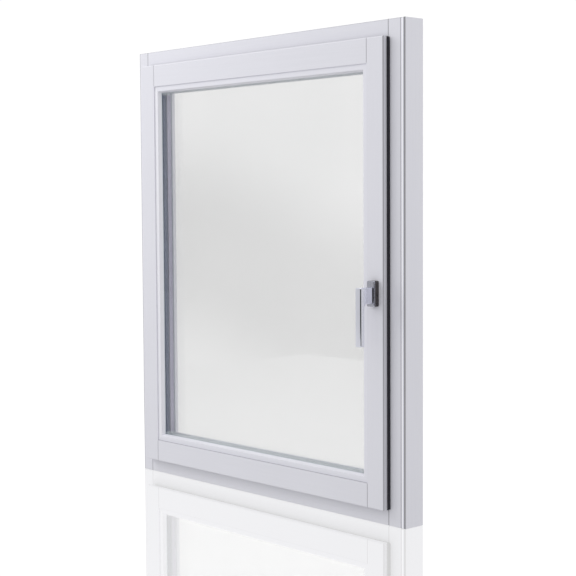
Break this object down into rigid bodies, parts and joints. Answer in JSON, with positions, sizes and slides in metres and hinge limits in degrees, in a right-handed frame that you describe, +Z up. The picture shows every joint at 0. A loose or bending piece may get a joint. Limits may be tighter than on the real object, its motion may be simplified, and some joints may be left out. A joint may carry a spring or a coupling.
{
  "type": "casement window",
  "caption": "Side-hung casement window: white timber frame, inward-opening triple-glazed sash, espagnolette lock and lever handle.",
  "frame": {"origin": "middle of the flat bottom face of the frame, halfway through its depth", "axes": "+X towards the lock side, +Y towards the outside, -Y towards the room, +Z up"},
  "size_m": [1.079, 0.1485, 1.25],
  "materials": {
    "lacquered_timber": "opaque white satin lacquer on timber",
    "pane_glass": "clear float glass",
    "spacer_bar": "grey spacer bar",
    "edge_sealant": "matt black sealant",
    "glazing_sealant": "pale grey sealant",
    "gasket_rubber": "matt black rubber",
    "block_plastic": "matt plastic",
    "plated_steel": "bright zinc plate",
    "handle_metal": "satin chrome look",
    "dark_plastic": "matt dark plastic"
  },
  "bodies": {
    "frame": {"jamb_left": "lacquered_timber", "jamb_right": "lacquered_timber", "head": "lacquered_timber", "sill": "lacquered_timber", "side_strip": "lacquered_timber", "frame_gasket": "gasket_rubber", "hinge_frame_plate_bottom": "plated_steel", "hinge_frame_plate_top": "plated_steel", "hinge_frame_screws": "plated_steel", "strikers": "plated_steel", "striker_screws": "plated_steel"},
    "sash": {"stile_left": "lacquered_timber", "stile_right": "lacquered_timber", "rail_top": "lacquered_timber", "rail_bottom": "lacquered_timber", "sash_gasket": "gasket_rubber", "bead_left": "lacquered_timber", "bead_right": "lacquered_timber", "bead_top": "lacquered_timber", "bead_bottom": "lacquered_timber", "bead_pins": "plated_steel", "pane_inner": "pane_glass", "pane_middle": "pane_glass", "pane_outer": "pane_glass", "spacer_inner": "spacer_bar", "spacer_outer": "spacer_bar", "edge_seal": "edge_sealant", "glazing_seal_inner": "glazing_sealant", "glazing_seal_outer": "glazing_sealant", "setting_blocks": "block_plastic", "hinge_sash_plate_bottom": "plated_steel", "hinge_sash_plate_top": "plated_steel", "hinge_bushes": "dark_plastic", "hinge_sash_screws": "plated_steel", "gear_case": "plated_steel", "gear_case_lid": "plated_steel", "gear_case_screws": "plated_steel", "faceplate": "plated_steel", "faceplate_screws": "plated_steel", "rose_base": "dark_plastic", "rose_cover": "handle_metal", "rose_screws": "plated_steel"},
    "handle": {"lever": "handle_metal", "handle_washer": "dark_plastic", "spindle": "plated_steel", "pinion": "plated_steel"},
    "lock_rod": {"drive_rod": "plated_steel", "locking_cams": "plated_steel"}
  },
  "joints": [
    {"name": "sash_turn", "type": "hinge", "parent": "frame", "child": "sash", "pos_m": [-0.4945, -0.0475, 0.624], "axis": [0, 0, -1], "range_deg": [0, 90]},
    {"name": "handle_turn", "type": "hinge", "parent": "sash", "child": "handle", "pos_m": [0.459, -0.06, 0.5795], "axis": [0, 1, 0], "range_deg": [0, 90]},
    {"name": "lock_rod_slide", "type": "slide", "parent": "sash", "child": "lock_rod", "axis": [0, 0, -1], "range_m": [0, 0.0114]}
  ],
  "couplings": [
    {"joint": "lock_rod_slide", "follows": "handle_turn", "m_per_rad": 0.0072}
  ]
}
